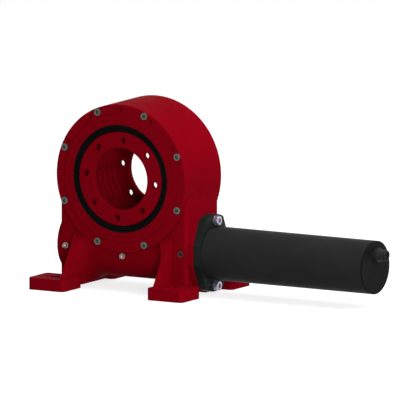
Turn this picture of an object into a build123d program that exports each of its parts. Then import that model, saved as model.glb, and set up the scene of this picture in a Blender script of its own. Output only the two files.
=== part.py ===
from build123d import *
import os
from math import acos, atan, cos, isclose, pi, radians, sin, sqrt, tan

# Solar tracker slew drive. Millimetres, +Z up.
# Origin: on the output axis, half way through the ring. The output axis is Y with the
# front face at -Y. The worm and its gear motor lie along X under the ring, motor at +X.

os.makedirs("parts", exist_ok=True)

# Worm gear set
module = 2.65
wheel_teeth = 62
worm_pitch_r = 17.85
pressure_angle = radians(20)
wheel_width = 30.0
wheel_seat_step = 2.0       # from the ring's neck to the wheel's seat
wheel_stop_step = 6.0       # and to the shoulder that the wheel stops against
wheel_passage = 1.2         # the wheel goes in through the bearing seats with this to spare
worm_clearance = 3.5        # around the worm in its chamber
worm_turns = 10            # an even number keeps the thread in mesh at the middle
flank_gap = 0.3             # axial play on each side of the worm thread
root_gap = 0.25             # share of the module left under each tip

# Fits
running_gap = 0.08          # radial clearance of a shaft in its seal or bush
rolling_gap = 0.15          # between a ball or roller and what it rolls on
screw_gap = 0.4             # radial clearance of a screw in its through hole
head_gap = 0.5              # radial clearance of a screw head in its counterbore
tap_spare = 1.0             # a tapped hole is this much deeper than its screw

# Output ring and its two ball bearings
ring_width = 104.0
ring_flange = 8.0
ring_bore_r = 43.0
ring_wall = 4.0
ring_bolt_pcd = 109.0
ring_bolt_r = 4.5
ring_bolt_count = 8
ring_bolt_turn = -4.7
rib_count = 6
rib_pitch = 13.7
rib_height = 5.2
rib_base = 10.6
bearing_section = 21.0      # radial height of a ball bearing
bearing_width = 12.0
bearing_shoulder = 10.0     # from the wheel's side face to the bearing
ball_r = 4.6
ball_count = 18
seal_section = 10.0
seal_depth = 10.0
seal_recess = 1.0
seal_case = 2.5             # wall that presses into the seat
seal_lip = 2.0              # wall that runs on the ring
seal_nose = 1.5
seal_groove = 2.0
groove_slope = 1.0
cage_half = 1.2             # half of a ball cage's thickness
cage_margin = 0.8           # cage beside each ball
pocket_play = 0.3
race_lip = 2.2
edge_chamfer = 0.5

# Housing and front cover
drum_width = 100.0
rear_step = 1.5             # the rear wall's rim stands back from the raised middle
rear_round = 2.0
cover_depth = 12.0
cover_raise = 1.8
cover_screw_count = 8
cover_screw_inset = 6.0     # screw circle to the rim
cover_rim = 17.0            # bearing seat to the rim
cover_step = 0.5
cover_relief = 1.0
raise_inset = 8.4           # screw circle to the raised middle
step_width = 8.6            # raised ring around the middle
rim_round = 1.5
spigot_wall = 6.0
dowel_hole_r = 2.2
dowel_inset = 7.5
head_sink = 5.0
seat_shoulder = 2.0         # depth of the bearing seats' inner shoulders
seal_relief = 2.0
pocket_gap = 0.3            # around the cover in the body's flat front
drum_overhang = 2.3         # the drum bulges past the body's end faces
shoulder_drop = 5.5         # the body's flat top lies this far under the output axis
side_corner_r = 5.0
body_width = 86.5
worm_house_wall = 17.25
leg_width = 34.7
foot_length = 56.5
foot_width = 51.5
foot_thick = 16.5
foot_hole_r = 7.0
foot_corner_r = 6.0
foot_inset = 0.3            # from the leg's inner side to the foot's
foot_tuck = 1.25            # overlap of a foot and the body's front or rear face
foot_machined = 4.4         # the feet reach this far below the casting's skirt
belly_gap = 14.2            # mounting plane to the underside of the worm housing
gusset_thick = 6.5
gusset_inset = 8.0
gusset_top = 22.0           # above the worm axis
gusset_slope = 0.64         # run over rise of the sloping front edge
gusset_blend_r = 25.0       # hollow corner between a brace and the worm chamber
gusset_root = 2.0           # a brace starts this deep in the body
blend_root = 6.0

# Worm shaft bearings, seal and end cap
shaft_r = 12.5
roller_bearing_r = 26.0
roller_bearing_width = 16.0
roller_bearing_x = 70.0
roller_count = 12
roller_share = 2 / 9        # roller radius over the bearing's radial section
roller_length = 11.0
roller_tilt = radians(12)
roller_cage_half = 0.8
cage_near_gap = 1.4         # from a bearing's narrow end to its cage
cage_far_gap = 2.6
cup_set_in = 1.0
cone_rib = 2.0
cone_rib_width = 1.5
collar_r = 16.0
collar_length = 6.0
collar_slope = 2.0
locknut_gap = 2.5           # from the locknut to the cap's spigot around it
locknut_width = 8.0
locknut_slot = 5.0
locknut_cut_share = 5 / 13   # depth of its slots and bevel over its wall
locknut_bevel = 2.0         # along the shaft
shaft_overhang = 1.5        # shaft end past the locknut
shim_width = 2.0
shim_wall = 4.0
o_ring_r = 1.2
o_ring_inset = 3.0          # from a joint face to its O-ring groove
spacer_width = 4.0
spacer_wall = 3.0
oil_seal_width = 8.0
oil_seal_case = 3.0
oil_seal_lip = 2.0
cap_r = 43.0
cap_plate = 4.3
cap_boss = 1.5
cap_bevel = 1.5
cap_spigot_wall = 4.5
cap_web = 2.0
cap_screw_circle = 35.0
cap_screw_count = 6
cap_screw_r = 3.0
cap_screw_head_r = 6.0
cap_screw_head = 3.0
cap_screw_key_r = 2.3
cap_screw_key_depth = 2.4
cap_screw_depth = 10.0      # thread in the housing

# Gear motor
motor_r = 37.0
motor_length = 257.0
motor_wall = 2.5
motor_shaft_r = 7.0
motor_shaft_grip = 34.0
motor_shaft_reach = 30.0    # inside the gearbox
shaft_set_back = 8.0        # worm shaft's end inside the flange face
bore_gap = 0.02
bore_spare = 4.0
key_width = 5.0
key_height = 5.0
key_length = 24.0
key_end_gap = 4.0
key_top_gap = 0.1
flange_shoulder = 23.0
flange_waist = 14.3
flange_corner_r = 5.0
flange_boss_grow = 2.0
flange_bore_r = 13.5
flange_spigot_gap = 0.5
flange_thick = 11.4
flange_boss = 8.2
flange_reach = 53.5
flange_half_width = 38.5
flange_screw_reach = 45.3
gearbox_length = 118.0
gearbox_screw_wall = 0.05    # between the heads' counterbores and the O-ring groove
gearbox_screw_count = 4
gearbox_screw_sink = 3.0
gearbox_screw_depth = 10.0
gearbox_bore_spare = 1.0
can_gap = 0.5
can_length = 100.0
can_boss_r = 12.0
can_boss = 4.0
end_plate = 3.0
end_plate_spigot = 6.0
connector_rise = 18.0
connector_length = 18.0
connector_hole_r = 7.0
connector_tail = 12.0
nut_r = 10.0
nut_width = 6.0
sleeve_r = 8.0
sleeve_bore_r = 6.0
sleeve_step = 2.0
pin_circle_r = 3.2
pin_count = 4
pin_r = 0.8
pin_length = 9.0

# Grease nipples and oil plug
nipple_hex_r = 4.6
nipple_hex = 4.0
nipple_neck_y = 3.5
nipple_base_r = 2.6
nipple_waist_y = 6.0
nipple_waist_r = 1.9
nipple_head_r = 2.9
nipple_head = 1.6
nipple_head_bevel = 0.9
nipple_tip_r = 1.4
nipple_height = 9.0
nipple_stub_r = 2.8
nipple_stub = 7.0
nipple_drill_tip = 1.2
left_nipple_x = -90.0
nipple_drop = 8.0
spot_face_r = 6.5
plug_x = 90.0
plug_rise = 1.0
plug_r = 4.5
plug_length = 9.0
plug_sink = 1.5
plug_key_r = 2.9
plug_key_depth = 4.5
plug_recess = 1.8           # around the plug

# Socket screws: shank and head radii, head height and key width
cover_screw_r = 3.0
cover_screw_head_r = 5.0
cover_screw_head = 6.0
cover_screw_key = 5.0
cover_screw_length = 20.0
flange_screw_r = 4.0
flange_screw_head_r = 6.5
flange_screw_head = 8.0
flange_screw_key = 6.0
flange_screw_depth = 16.0   # thread in the housing
gearbox_screw_shank_r = 2.5
gearbox_screw_head_r = 4.25
gearbox_screw_head = 5.0
gearbox_screw_key = 4.0

# Worked out from the values above
wheel_pitch_r = module * wheel_teeth / 2
wheel_tip_r = wheel_pitch_r + module
wheel_root_r = wheel_pitch_r - module * (1 + root_gap)
worm_tip_r = worm_pitch_r + module
worm_root_r = worm_pitch_r - module * (1 + root_gap)
worm_lead = pi * module
worm_length = worm_turns * worm_lead
centre_distance = wheel_pitch_r + worm_pitch_r
bearing_outer_r = wheel_tip_r + wheel_passage
neck_r = bearing_outer_r - bearing_section
ball_circle_r = bearing_outer_r - bearing_section / 2
bearing_y = wheel_width / 2 + bearing_shoulder
cavity_r = bearing_outer_r + seat_shoulder
drum_r = bearing_outer_r + cover_rim
cover_screw_circle = drum_r - cover_screw_inset
seal_r = neck_r + seal_section
half_drum = drum_width / 2
half_ring = ring_width / 2
half_body = body_width / 2
joint_y = half_drum - cover_depth
body_half_length = drum_r - drum_overhang
worm_house_r = roller_bearing_r + worm_house_wall
belly_z = -centre_distance - worm_house_r
base_z = belly_z - belly_gap
skirt_z = base_z + foot_machined
foot_top_z = base_z + foot_thick
foot_x = body_half_length - leg_width + foot_length / 2 + foot_inset
foot_y = half_body - foot_tuck + foot_width / 2
flange_x = body_half_length + flange_boss
motor_x = flange_x + flange_thick
motor_end_x = motor_x + motor_length
worm_bore_r = worm_tip_r + worm_clearance
bearing_far_x = roller_bearing_x + roller_bearing_width
shaft_left_x = -bearing_far_x - locknut_width - shaft_overhang
shaft_right_x = flange_x - shaft_set_back
boss_left_x = -body_half_length - cap_boss
cap_top_x = boss_left_x - cap_plate
seal_start_x = bearing_far_x + spacer_width
seal_end_x = seal_start_x + oil_seal_width
flange_spigot = flange_x - seal_end_x
motor_bore_r = motor_r - motor_wall
gearbox_end_x = motor_x + gearbox_length
roller_r = roller_share * (roller_bearing_r - shaft_r)
locknut_r = roller_bearing_r - cap_spigot_wall - locknut_gap
locknut_cut = locknut_cut_share * (locknut_r - shaft_r)
gearbox_screw_r = roller_bearing_r - 2 * o_ring_r - gearbox_screw_wall - gearbox_screw_head_r - head_gap
raise_r = cover_screw_circle - raise_inset
step_r = raise_r - step_width
cover_front_y = -half_drum
bearing_far_y = bearing_y + bearing_width

worm_axis = Axis((0, 0, -centre_distance), (1, 0, 0))
worm_section = Plane(origin=(0, 0, -centre_distance), x_dir=(1, 0, 0), z_dir=(0, -1, 0))
pieces = {}


def across_worm(x):
    """Plane square to the worm axis: its x is Y, its y is Z above the worm."""
    return Plane(origin=(x, 0, -centre_distance), x_dir=(0, 1, 0), z_dir=(1, 0, 0))


def facing_front(y):
    """Plane square to the output axis, seen from the front: x is X, y is Z."""
    return Plane(origin=(0, y, 0), x_dir=(1, 0, 0), z_dir=(0, -1, 0))


def section(plane, *corners):
    """A closed straight-sided section on a plane, for the caller to turn or extrude."""
    with BuildSketch(plane) as outline:
        with BuildLine():
            Polyline(*corners, close=True)
        make_face()
    return outline.sketch


def turned_on_output(*corners):
    """A ring turned about the output axis from (radius, y) corners."""
    with BuildPart() as ring:
        revolve(section(Plane.XY, *corners), axis=Axis.Y)
    return ring


def turned_on_worm(*corners):
    """A ring turned about the worm axis from (x, radius) corners."""
    with BuildPart() as ring:
        revolve(section(worm_section, *corners), axis=worm_axis)
    return ring


def socket_screws(seats, head_r, head_height, shank_r, shank_length, key):
    """Socket screws, one on each plane: head on its positive side, shank behind."""
    with BuildPart() as screws:
        for seat in seats:
            with BuildSketch(seat):
                Circle(head_r)
            extrude(amount=head_height)
            with BuildSketch(seat):
                Circle(shank_r)
            extrude(amount=-shank_length)
            with BuildSketch(seat.offset(head_height)):
                RegularPolygon(key / sqrt(3), 6)
            extrude(amount=-head_height * 0.55, mode=Mode.SUBTRACT)
    return screws


def polar_points(radius, count, start):
    """Points of a bolt circle in the front view, from an angle in degrees."""
    angles = [radians(start + 360 * i / count) for i in range(count)]
    return [(radius * cos(a), radius * sin(a)) for a in angles]


def flange_outline(plane, grow):
    """Outline of the motor flange: round top and bottom, slanted shoulders."""
    reach = flange_reach + grow
    side = flange_half_width + grow
    shoulder = flange_shoulder
    shoulder_z = sqrt(reach ** 2 - shoulder ** 2)
    waist = flange_waist
    with BuildSketch(plane) as outline:
        with BuildLine():
            ThreePointArc((-shoulder, shoulder_z), (0, reach), (shoulder, shoulder_z))
            Polyline((shoulder, shoulder_z), (side, waist), (side, -waist), (shoulder, -shoulder_z))
            ThreePointArc((shoulder, -shoulder_z), (0, -reach), (-shoulder, -shoulder_z))
            Polyline((-shoulder, -shoulder_z), (-side, -waist), (-side, waist), (-shoulder, shoulder_z))
        make_face()
        fillet(outline.vertices(), flange_corner_r)
    return outline.sketch


# Output ring: thin flanges at both ends of a ribbed, hollow barrel
barrel_r = neck_r - ring_wall
wheel_seat_r = neck_r + wheel_seat_step
wheel_stop_r = neck_r + wheel_stop_step
inner_y = half_ring - ring_flange
with BuildPart() as output_ring:
    with BuildSketch(Plane.XY):
        with BuildLine():
            outer = Polyline(
                (ring_bore_r, inner_y), (ring_bore_r, half_ring), (neck_r, half_ring),
                (neck_r, bearing_y), (wheel_stop_r, bearing_y), (wheel_stop_r, wheel_width / 2),
                (wheel_seat_r, wheel_width / 2), (wheel_seat_r, -bearing_y), (neck_r, -bearing_y),
                (neck_r, -half_ring), (ring_bore_r, -half_ring), (ring_bore_r, -inner_y),
            )
            reached = (barrel_r, -inner_y)
            Line(outer @ 1, reached)
            for i in range(rib_count):
                rib_y = (i - (rib_count - 1) / 2) * rib_pitch
                foot = (barrel_r, rib_y - rib_base / 2)
                Line(reached, foot)
                reached = (barrel_r, rib_y + rib_base / 2)
                ThreePointArc(foot, (barrel_r - rib_height, rib_y), reached)
            Line(reached, (barrel_r, inner_y))
            Line((barrel_r, inner_y), outer @ 0)
        make_face()
    revolve(axis=Axis.Y)
    with BuildSketch(facing_front(half_ring)):
        with PolarLocations(ring_bolt_pcd / 2, ring_bolt_count, start_angle=ring_bolt_turn):
            Circle(ring_bolt_r)
    extrude(amount=ring_width, mode=Mode.SUBTRACT)
    rims = output_ring.edges().filter_by(GeomType.CIRCLE).filter_by(
        lambda e: isclose(abs(e.center().Y), half_ring))
    for radius in (ring_bore_r, neck_r):
        chamfer(rims.filter_by(lambda e: isclose(e.radius, radius)), edge_chamfer)
pieces["output_ring"] = output_ring


# Worm wheel: involute teeth set at the worm's lead angle
def wheel_outline(turn):
    """Corners of the toothed outline, turned by an angle; a gap lies at the bottom."""
    base_r = wheel_pitch_r * cos(pressure_angle)
    half_tooth = (worm_lead / 2 - flank_gap) / 2 / wheel_pitch_r

    def half_angle(radius):
        slope = acos(base_r / radius)
        at_pitch = tan(pressure_angle) - pressure_angle
        return half_tooth + at_pitch - (tan(slope) - slope)

    corners = []
    for i in range(wheel_teeth):
        middle = -pi / 2 + (i + 0.5) * 2 * pi / wheel_teeth - turn
        for radius, side in ((wheel_root_r, -1), (wheel_tip_r, -1), (wheel_tip_r, 1), (wheel_root_r, 1)):
            angle = middle + side * half_angle(radius)
            corners.append((radius * cos(angle), radius * sin(angle)))
    return corners


lead_slope = worm_lead / (2 * pi * worm_pitch_r)
wheel_twist = lead_slope * wheel_width / 2 / wheel_pitch_r
with BuildPart() as worm_wheel:
    for side in (-1, 1):
        with BuildSketch(facing_front(side * wheel_width / 2)):
            with BuildLine():
                Polyline(*wheel_outline(side * wheel_twist), close=True)
            make_face()
    loft(ruled=True)
    with BuildSketch(facing_front(wheel_width / 2)):
        Circle(wheel_seat_r)
    extrude(amount=wheel_width, mode=Mode.SUBTRACT)
pieces["worm_wheel"] = worm_wheel


# Output ball bearings, one each side of the wheel
ball_track_r = ball_r + rolling_gap
for end, side in (("front", -1), ("rear", 1)):
    near = side * bearing_y
    far = side * (bearing_y + bearing_width)
    middle = (near + far) / 2
    for ring, inside, outside in (
        ("inner_race", neck_r, ball_circle_r - race_lip),
        ("outer_race", ball_circle_r + race_lip, bearing_outer_r),
    ):
        with BuildPart() as race:
            with BuildSketch(Plane.XY):
                with BuildLine():
                    Polyline((inside, near), (outside, near), (outside, far), (inside, far), close=True)
                make_face()
                with Locations((ball_circle_r, middle)):
                    Circle(ball_track_r, mode=Mode.SUBTRACT)
            revolve(axis=Axis.Y)
        pieces[f"{end}_{ring}"] = race
    ball_places = [(x, middle, z) for x, z in polar_points(ball_circle_r, ball_count, 90)]
    with BuildPart() as balls:
        with Locations(*ball_places):
            Sphere(ball_r)
    pieces[f"{end}_balls"] = balls
    with BuildPart() as cage:
        with BuildSketch(facing_front(middle)):
            Circle(ball_circle_r + cage_half)
            Circle(ball_circle_r - cage_half, mode=Mode.SUBTRACT)
        extrude(amount=ball_r + cage_margin, both=True)
        for x, y, z in ball_places:
            outward = Vector(x, 0, z).normalized()
            with BuildSketch(Plane(origin=(x, y, z), x_dir=(0, 1, 0), z_dir=outward)):
                Circle(ball_r + pocket_play)
            extrude(amount=3 * cage_half, both=True, mode=Mode.SUBTRACT)
    pieces[f"{end}_cage"] = cage


# Ring seals, seated in the cover and in the housing's rear wall
seal_inner_r = neck_r + running_gap
lip_r = seal_inner_r + seal_lip
case_r = seal_r - seal_case
for end, side in (("front", -1), ("rear", 1)):
    outer_y = side * (half_ring - seal_recess)
    inner_y = side * (half_ring - seal_recess - seal_depth)
    groove_y = outer_y - side * seal_groove
    web_y = groove_y - side * seal_groove
    pieces[f"{end}_seal"] = turned_on_output(
        (seal_inner_r + seal_nose, outer_y), (lip_r + groove_slope, outer_y),
        (lip_r + 2 * groove_slope, groove_y), (case_r - groove_slope, groove_y), (case_r, outer_y),
        (seal_r, outer_y), (seal_r, inner_y), (case_r, inner_y), (case_r, web_y), (lip_r, web_y),
        (lip_r, inner_y), (seal_inner_r, inner_y + side * seal_groove), (seal_inner_r, groove_y),
    )

# Front cover
raise_y = cover_front_y - cover_raise
spigot_r = bearing_outer_r - spigot_wall
cover_screw_points = polar_points(cover_screw_circle, cover_screw_count, 180 / cover_screw_count)
dowel_points = polar_points(drum_r - dowel_inset, 12, 0)[1:6]
with BuildPart() as front_cover:
    revolve(section(
        Plane.XY,
        (seal_r, raise_y), (step_r, raise_y), (step_r, raise_y + cover_step), (raise_r, raise_y + cover_step),
        (raise_r, cover_front_y), (drum_r, cover_front_y), (drum_r, -joint_y),
        (bearing_outer_r, -joint_y), (bearing_outer_r, -bearing_far_y), (spigot_r, -bearing_far_y),
        (spigot_r, -joint_y - cover_relief), (seal_r, -joint_y - cover_relief),
    ), axis=Axis.Y)
    rim = front_cover.edges().filter_by(GeomType.CIRCLE).filter_by(
        lambda e: isclose(e.radius, drum_r) and isclose(e.center().Y, cover_front_y))
    fillet(rim, rim_round)
    with BuildSketch(facing_front(cover_front_y)):
        with Locations(*cover_screw_points):
            Circle(cover_screw_head_r + head_gap)
    extrude(amount=-head_sink, mode=Mode.SUBTRACT)
    with BuildSketch(facing_front(cover_front_y)):
        with Locations(*cover_screw_points):
            Circle(cover_screw_r + screw_gap)
        with Locations(*dowel_points):
            Circle(dowel_hole_r)
    extrude(amount=-cover_depth, mode=Mode.SUBTRACT)
pieces["front_cover"] = front_cover
cover_seats = [Plane(origin=(x, cover_front_y + head_sink, z), x_dir=(1, 0, 0), z_dir=(0, -1, 0))
               for x, z in cover_screw_points]
pieces["cover_screws"] = socket_screws(
    cover_seats, cover_screw_head_r, cover_screw_head, cover_screw_r, cover_screw_length, cover_screw_key)

# Housing: drum over a worm chamber on four braced feet
leg_inner_x = body_half_length - leg_width
gusset_x = leg_inner_x + gusset_inset
brace_top = gusset_top - centre_distance
brace_foot_y = -half_body - gusset_slope * (brace_top - foot_top_z)
brace_inner_x = gusset_x - gusset_thick / 2
blend_x = brace_inner_x - gusset_blend_r
blend_y = -half_body - gusset_blend_r
with BuildPart() as brace:
    # hollow corner beside the flat front, then turned round under the worm chamber
    with BuildSketch(Plane.XY.offset(-centre_distance)) as hollow:
        with BuildLine():
            Polyline((blend_x, -half_body), (blend_x, -half_body + blend_root),
                     (gusset_x, -half_body + blend_root), (gusset_x, blend_y), (brace_inner_x, blend_y))
            RadiusArc((brace_inner_x, blend_y), (blend_x, -half_body), -gusset_blend_r)
        make_face()
    extrude(hollow.sketch, amount=gusset_top)
    revolve(hollow.sketch, axis=worm_axis, revolution_arc=90)
    # the plate itself
    side = Plane(origin=(brace_inner_x, 0, 0), x_dir=(0, 1, 0), z_dir=(1, 0, 0))
    extrude(section(side, (-half_body + gusset_root, brace_top), (-half_body, brace_top),
                    (brace_foot_y, foot_top_z), (-half_body + gusset_root, foot_top_z)), amount=gusset_thick)
    # all of it stops at the plate's sloping front edge and at the skirt
    front = Plane(origin=(0, 0, 0), x_dir=(0, 1, 0), z_dir=(1, 0, 0))
    far_y = brace_foot_y - drum_r
    low_y = brace_foot_y - gusset_slope * (foot_top_z - base_z)
    extrude(section(front, (-half_body, brace_top), (low_y, base_z), (far_y, base_z), (far_y, brace_top)),
            amount=gusset_x + gusset_thick, mode=Mode.SUBTRACT)
    extrude(section(front, (far_y, skirt_z), (0, skirt_z), (0, base_z - drum_r), (far_y, base_z - drum_r)),
            amount=gusset_x + gusset_thick, mode=Mode.SUBTRACT)
with BuildPart() as housing:
    with BuildSketch(Plane.XY.offset(skirt_z)):
        RectangleRounded(2 * body_half_length, body_width, side_corner_r)
    extrude(amount=-shoulder_drop - skirt_z)
    with BuildSketch(facing_front(half_body)):
        with Locations((0, (skirt_z - centre_distance) / 2)):
            Rectangle(2 * leg_inner_x, -skirt_z - centre_distance)
    extrude(amount=body_width, mode=Mode.SUBTRACT)
    revolve(section(
        Plane.XY, (0, -joint_y), (drum_r, -joint_y), (drum_r, half_drum - rear_step - rear_round),
        (drum_r - rear_round, half_drum - rear_step), (raise_r, half_drum - rear_step),
        (raise_r, half_drum), (0, half_drum)), axis=Axis.Y)
    with BuildSketch(across_worm(-body_half_length)):
        Circle(worm_house_r)
    extrude(amount=2 * body_half_length)
    with BuildSketch(across_worm(-body_half_length)):
        Circle(cap_r)
    extrude(amount=-cap_boss)
    extrude(flange_outline(across_worm(body_half_length), flange_boss_grow), amount=flange_boss)
    with BuildSketch(Plane.XY.offset(base_z)):
        for side_x in (-1, 1):
            for side_y in (-1, 1):
                with Locations((side_x * foot_x, side_y * foot_y)):
                    RectangleRounded(foot_length, foot_width, foot_corner_r)
    extrude(amount=foot_thick)
    for turn_x, turn_y in ((False, False), (True, False), (False, True), (True, True)):
        corner = brace.part
        if turn_x:
            corner = corner.mirror(Plane.YZ)
        if turn_y:
            corner = corner.mirror(Plane.XZ)
        add(corner)
    # drum cavity, bearing seats and the rear seal's seat
    revolve(section(
        Plane.XY,
        (0, -half_drum), (bearing_outer_r, -half_drum), (bearing_outer_r, -bearing_y), (cavity_r, -bearing_y),
        (cavity_r, bearing_y), (bearing_outer_r, bearing_y), (bearing_outer_r, bearing_far_y),
        (spigot_r, bearing_far_y), (spigot_r, bearing_far_y + seal_relief),
        (seal_r, bearing_far_y + seal_relief), (seal_r, half_drum), (0, half_drum),
    ), axis=Axis.Y, mode=Mode.SUBTRACT)
    # pocket for the cover, sunk in the flat front
    with BuildSketch(facing_front(-joint_y)):
        Circle(drum_r + pocket_gap)
    extrude(amount=half_drum, mode=Mode.SUBTRACT)
    # worm chamber with its two bearing seats, open at both ends
    revolve(section(
        worm_section,
        (boss_left_x, 0), (flange_x, 0), (flange_x, roller_bearing_r),
        (roller_bearing_x, roller_bearing_r), (roller_bearing_x, worm_bore_r),
        (-roller_bearing_x, worm_bore_r), (-roller_bearing_x, roller_bearing_r),
        (boss_left_x, roller_bearing_r),
    ), axis=worm_axis, mode=Mode.SUBTRACT)
    with BuildSketch(Plane.XY.offset(base_z)):
        for side_x in (-1, 1):
            for side_y in (-1, 1):
                with Locations((side_x * foot_x, side_y * foot_y)):
                    Circle(foot_hole_r)
    extrude(amount=foot_thick, mode=Mode.SUBTRACT)
pieces["housing"] = housing

# Worm: single right-hand thread on a hollow-ended shaft
thread_half = (worm_lead / 2 - flank_gap) / 2
flank = tan(pressure_angle)
root_sink = 0.3             # the thread's foot lies this deep in the shaft
collar_x = roller_bearing_x - collar_length
with BuildPart() as worm_shaft:
    revolve(section(
        worm_section,
        (shaft_left_x, 0), (shaft_left_x, shaft_r),
        (-roller_bearing_x, shaft_r), (-roller_bearing_x, collar_r), (-collar_x, collar_r),
        (-collar_x + collar_slope, worm_root_r), (collar_x - collar_slope, worm_root_r),
        (collar_x, collar_r), (roller_bearing_x, collar_r), (roller_bearing_x, shaft_r),
        (shaft_right_x, shaft_r), (shaft_right_x, 0),
    ), axis=worm_axis)
    with BuildLine():
        thread_start = Vector(-worm_length / 2, 0, -centre_distance)
        thread_path = Helix(worm_lead, worm_length, worm_pitch_r, center=thread_start, direction=(1, 0, 0))
    start = thread_path @ 0
    outward = (start - thread_start).normalized()
    with BuildSketch(Plane(origin=start, x_dir=outward, z_dir=outward.cross(Vector(1, 0, 0)))):
        with BuildLine():
            low = worm_root_r - worm_pitch_r - root_sink
            Polyline((low, -thread_half + low * flank), (module, -thread_half + module * flank),
                     (module, thread_half - module * flank), (low, thread_half - low * flank), close=True)
        make_face()
    sweep(path=thread_path, is_frenet=True)

# key slot and the bore that takes the motor's shaft
grip_x = shaft_right_x - motor_shaft_grip
with BuildPart() as worm_shaft_bored:
    add(worm_shaft)
    with BuildSketch(across_worm(shaft_right_x)):
        Circle(motor_shaft_r + bore_gap)
        with Locations((0, motor_shaft_r)):
            Rectangle(key_width, key_height)
    extrude(amount=-motor_shaft_grip - bore_spare, mode=Mode.SUBTRACT)
pieces["worm_shaft"] = worm_shaft_bored

# Tapered roller bearings on the worm shaft, wide ends outwards
roller_circle_r = (shaft_r + roller_bearing_r) / 2
apex = roller_circle_r / tan(roller_tilt)
taper = atan(roller_r / (apex / cos(roller_tilt)))
pocket_ends = 0.25
pocket_narrow = 0.2
pocket_wide = 0.5


def roller_stations(middle, side):
    """For each roller, a plane along its axis through its centre, and that axis."""
    stations = []
    for i in range(roller_count):
        turn = 2 * pi * i / roller_count
        out = Vector(0, cos(turn), sin(turn))
        lean = (Vector(side, 0, 0) * cos(roller_tilt) + out * sin(roller_tilt)).normalized()
        centre = Vector(middle, 0, -centre_distance) + out * roller_circle_r
        square = lean.cross(Vector(0, -sin(turn), cos(turn))).normalized()
        plane = Plane(origin=centre, x_dir=lean, z_dir=lean.cross(square))
        stations.append((plane, Axis(centre, lean)))
    return stations


for end, side in (("left", -1), ("right", 1)):
    near = side * roller_bearing_x
    far = side * (roller_bearing_x + roller_bearing_width)
    middle = (near + far) / 2
    apex_x = middle - side * apex

    def height(x, angle, shift):
        """Radius at x of a cone from the rollers' common apex, moved off by a shift."""
        return abs(x - apex_x) * tan(angle) + shift

    def cup_r(x):
        return height(x, roller_tilt + taper, rolling_gap)

    def cone_r(x):
        return height(x, roller_tilt - taper, -rolling_gap)

    cup_near = near + side * cup_set_in
    rib_x = far - side * cone_rib_width
    rib_r = cone_r(rib_x) + cone_rib
    pieces[f"{end}_bearing_cup"] = turned_on_worm(
        (cup_near, cup_r(cup_near)), (far, cup_r(far)), (far, roller_bearing_r), (cup_near, roller_bearing_r))
    pieces[f"{end}_bearing_cone"] = turned_on_worm(
        (near, shaft_r), (near, cone_r(near)), (rib_x, cone_r(rib_x)), (rib_x, rib_r), (far, rib_r),
        (far, shaft_r))
    along = roller_length / 2
    swell = along * tan(taper)
    with BuildPart() as rollers:
        for plane, roller_axis in roller_stations(middle, side):
            roller = section(plane, (-along, 0), (-along, roller_r - swell), (along, roller_r + swell),
                             (along, 0))
            revolve(roller, axis=roller_axis)
    pieces[f"{end}_rollers"] = rollers
    cage_near = near + side * cage_near_gap
    cage_far = far - side * cage_far_gap
    mid_near = height(cage_near, roller_tilt, 0)
    mid_far = height(cage_far, roller_tilt, 0)
    reach = along + pocket_ends
    with BuildPart() as roller_cage:
        revolve(section(
            worm_section, (cage_near, mid_near - roller_cage_half), (cage_near, mid_near + roller_cage_half),
            (cage_far, mid_far + roller_cage_half), (cage_far, mid_far - roller_cage_half)), axis=worm_axis)
        for plane, roller_axis in roller_stations(middle, side):
            pocket = section(plane, (-reach, 0), (-reach, roller_r + pocket_narrow),
                             (reach, roller_r + pocket_wide), (reach, 0))
            revolve(pocket, axis=roller_axis, mode=Mode.SUBTRACT)
    pieces[f"{end}_roller_cage"] = roller_cage

with BuildPart() as worm_locknut:
    revolve(section(
        worm_section, (-bearing_far_x, shaft_r), (-bearing_far_x, locknut_r - locknut_cut),
        (-bearing_far_x - locknut_bevel, locknut_r), (-bearing_far_x - locknut_width, locknut_r),
        (-bearing_far_x - locknut_width, shaft_r)), axis=worm_axis)
    with BuildSketch(across_worm(-bearing_far_x - locknut_width)):
        with PolarLocations(locknut_r, 4):
            Rectangle(2 * locknut_cut, locknut_slot)
    extrude(amount=locknut_width, mode=Mode.SUBTRACT)
pieces["worm_locknut"] = worm_locknut


# Left end of the worm chamber: shim, cap, its O-ring and screws
def countersunk(y, z, depth):
    """Half section of a countersunk screw or its hole, sunk in the cap's face."""
    plane = Plane(origin=(cap_top_x, y, z - centre_distance), x_dir=(1, 0, 0), z_dir=(0, -1, 0))
    return section(plane, (0, 0), (0, cap_screw_head_r), (cap_screw_head, cap_screw_r), (depth, cap_screw_r),
                   (depth, 0))


cap_spigot_x = -bearing_far_x - shim_width
pieces["preload_shim"] = turned_on_worm(
    (-bearing_far_x, roller_bearing_r - shim_wall), (-bearing_far_x, roller_bearing_r),
    (cap_spigot_x, roller_bearing_r), (cap_spigot_x, roller_bearing_r - shim_wall))
cap_groove_x = boss_left_x + o_ring_inset
cap_groove_r = roller_bearing_r - 2 * o_ring_r
cap_spigot_r = roller_bearing_r - cap_spigot_wall
cap_screw_points = polar_points(cap_screw_circle, cap_screw_count, 180 / cap_screw_count)
with BuildPart() as worm_end_cap:
    revolve(section(
        worm_section,
        (cap_top_x, 0), (cap_top_x, cap_r - cap_bevel), (cap_top_x + cap_bevel, cap_r), (boss_left_x, cap_r),
        (boss_left_x, roller_bearing_r), (cap_groove_x, roller_bearing_r), (cap_groove_x, cap_groove_r),
        (cap_groove_x + 2 * o_ring_r, cap_groove_r), (cap_groove_x + 2 * o_ring_r, roller_bearing_r),
        (cap_spigot_x, roller_bearing_r), (cap_spigot_x, cap_spigot_r),
        (boss_left_x + cap_web, cap_spigot_r), (boss_left_x + cap_web, 0)), axis=worm_axis)
    for y, z in cap_screw_points:
        revolve(countersunk(y, z, cap_plate), axis=Axis((cap_top_x, y, z - centre_distance), (1, 0, 0)),
                mode=Mode.SUBTRACT)
pieces["worm_end_cap"] = worm_end_cap
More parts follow.
